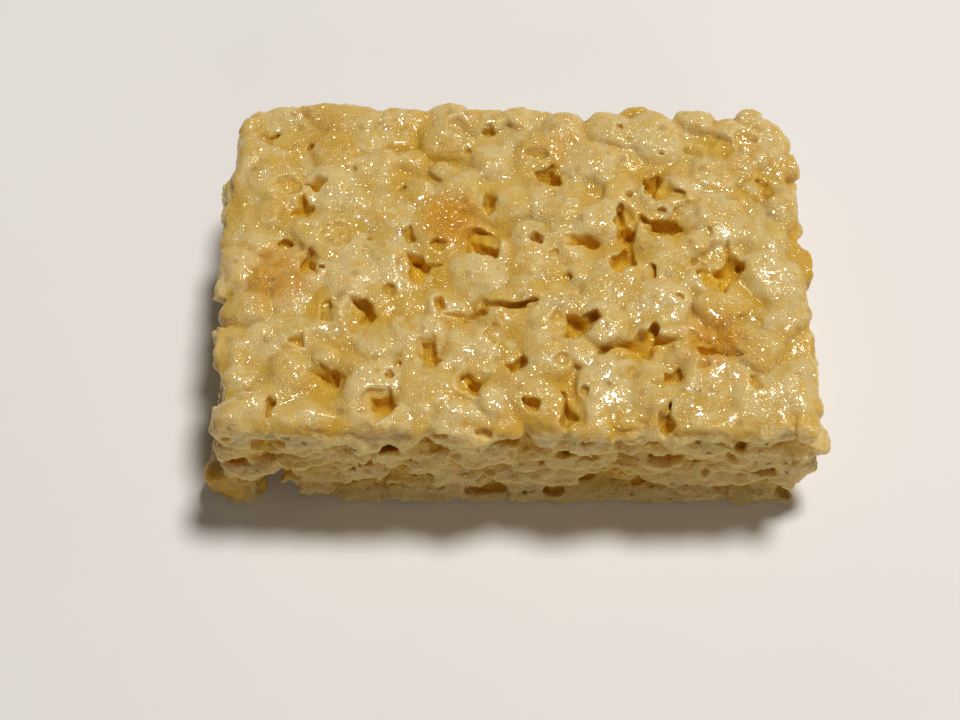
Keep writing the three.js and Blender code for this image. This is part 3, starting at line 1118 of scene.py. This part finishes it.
def torn_crumbs(host, material):
    """Shreds and crumbs that cling to the torn faces."""
    obj = link(host.name.replace("torn", "crumbs"), host.data.copy())
    recipe = Recipe("torn_crumbs", CRUMB_SIZES)
    height = recipe.node("ShaderNodeSeparateXYZ", {}, {0: recipe.place}, "Z")
    clear = recipe.ramp(height, *(level * METRES for level in CRUMB_LOWEST))
    clear = clear * recipe.ramp(recipe.attribute("carved"), 1.2, 0.3)
    density = recipe.attribute("side") * recipe.attribute("skin") * clear
    host_faces = recipe.input("Geometry")
    points, facing = recipe.scatter(host_faces, recipe.input("Spacing"), density, CRUMB_SEEDS["place"])
    sockets = {"Radius": recipe.input("Crumb Size"), "Subdivisions": 2}
    crumb = recipe.node("GeometryNodeMeshIcoSphere", {}, sockets)
    crumb = recipe.node("GeometryNodeSetShadeSmooth", {}, {0: crumb})
    scale = recipe.between(*CRUMB_SHAPES, CRUMB_SEEDS["shape"])
    sockets = {"Points": points, "Instance": crumb, "Rotation": facing, "Scale": scale}
    crumbs = recipe.node("GeometryNodeInstanceOnPoints", {}, sockets)
    turn = recipe.between(*CRUMB_TURNS, CRUMB_SEEDS["turn"])
    crumbs = recipe.node("GeometryNodeRotateInstances", {}, {"Instances": crumbs, "Rotation": turn})
    crumbs = recipe.node("GeometryNodeRealizeInstances", {}, {"Geometry": crumbs})
    sockets = {"Vector": recipe.place, "Scale": CRUMB_SWIRL / METRES}
    swirl = recipe.node("ShaderNodeTexNoise", {}, sockets, "Color")
    swirl = recipe.vectors("SUBTRACT", swirl, MIDDLE)
    recipe.end(recipe.shift(crumbs, recipe.along(swirl, recipe.input("Crumple"))), material)
    recipe.use_on(obj)
    settle(obj)
    return obj


def lay_floor():
    half = FLOOR_SIZE / 2
    mesh = bpy.data.meshes.new("floor")
    corners = [(-half, -half, 0), (half, -half, 0), (half, half, 0), (-half, half, 0)]
    mesh.from_pydata(corners, [], [(0, 1, 2, 3)])
    floor = link("floor", mesh)
    mesh.materials.append(paper_finish())


def hang_light(name, place, size, watts, tint):
    lamp = bpy.data.lights.new(name, "AREA")
    lamp.shape = "DISK"
    lamp.size = size
    lamp.energy = watts
    lamp.color = tint
    obj = link(name, lamp)
    obj.location = place
    obj.rotation_euler = (-obj.location).to_track_quat("-Z", "Y").to_euler()


def light_scene():
    world = bpy.data.worlds.new("room")
    world.use_nodes = True
    for socket, value in ROOM.items():
        world.node_tree.nodes["Background"].inputs[socket].default_value = value
    bpy.context.scene.world = world
    for name, lamp in LAMPS.items():
        hang_light(name, **lamp)
    bpy.context.scene.view_settings.view_transform = "Standard"


def place_camera():
    camera = bpy.data.cameras.new("camera")
    camera.sensor_width = CAMERA_SENSOR
    camera.lens = CAMERA_LENS
    obj = link("camera", camera)
    obj.location = [c * METRES for c in CAMERA_PLACE]
    obj.rotation_euler = (math.pi / 2 - CAMERA_PITCH, 0, 0)
    bpy.context.scene.camera = obj


place_camera()
light_scene()
lay_floor()

top_puffs = pack_top()
ring_puffs = [puff for ring in range(RINGS) for puff in pack_ring(ring)]
mass, cut_edge, parts = mass_field(top_puffs + pack_small(top_puffs) + ring_puffs)
marshmallow = marshmallow_finish("glazed_marshmallow_rice", translucency=0.72)
loose_crumb = marshmallow_finish("loose_marshmallow_crumb", translucency=0.0)

pieces = []
for name, limit in parts.items():
    piece = surface_of(np.maximum(mass.distance, limit - SEAM_OVERLAP / 2), name)
    mark_surface(piece, mass, cut_edge)
    bubble_skin(piece, marshmallow)
    thin_out(piece)
    pieces.append(piece)
    if name.startswith("torn"):
        pieces.append(torn_crumbs(piece, loose_crumb))
for piece in pieces:
    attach(piece, "root")
    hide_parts(NODE)
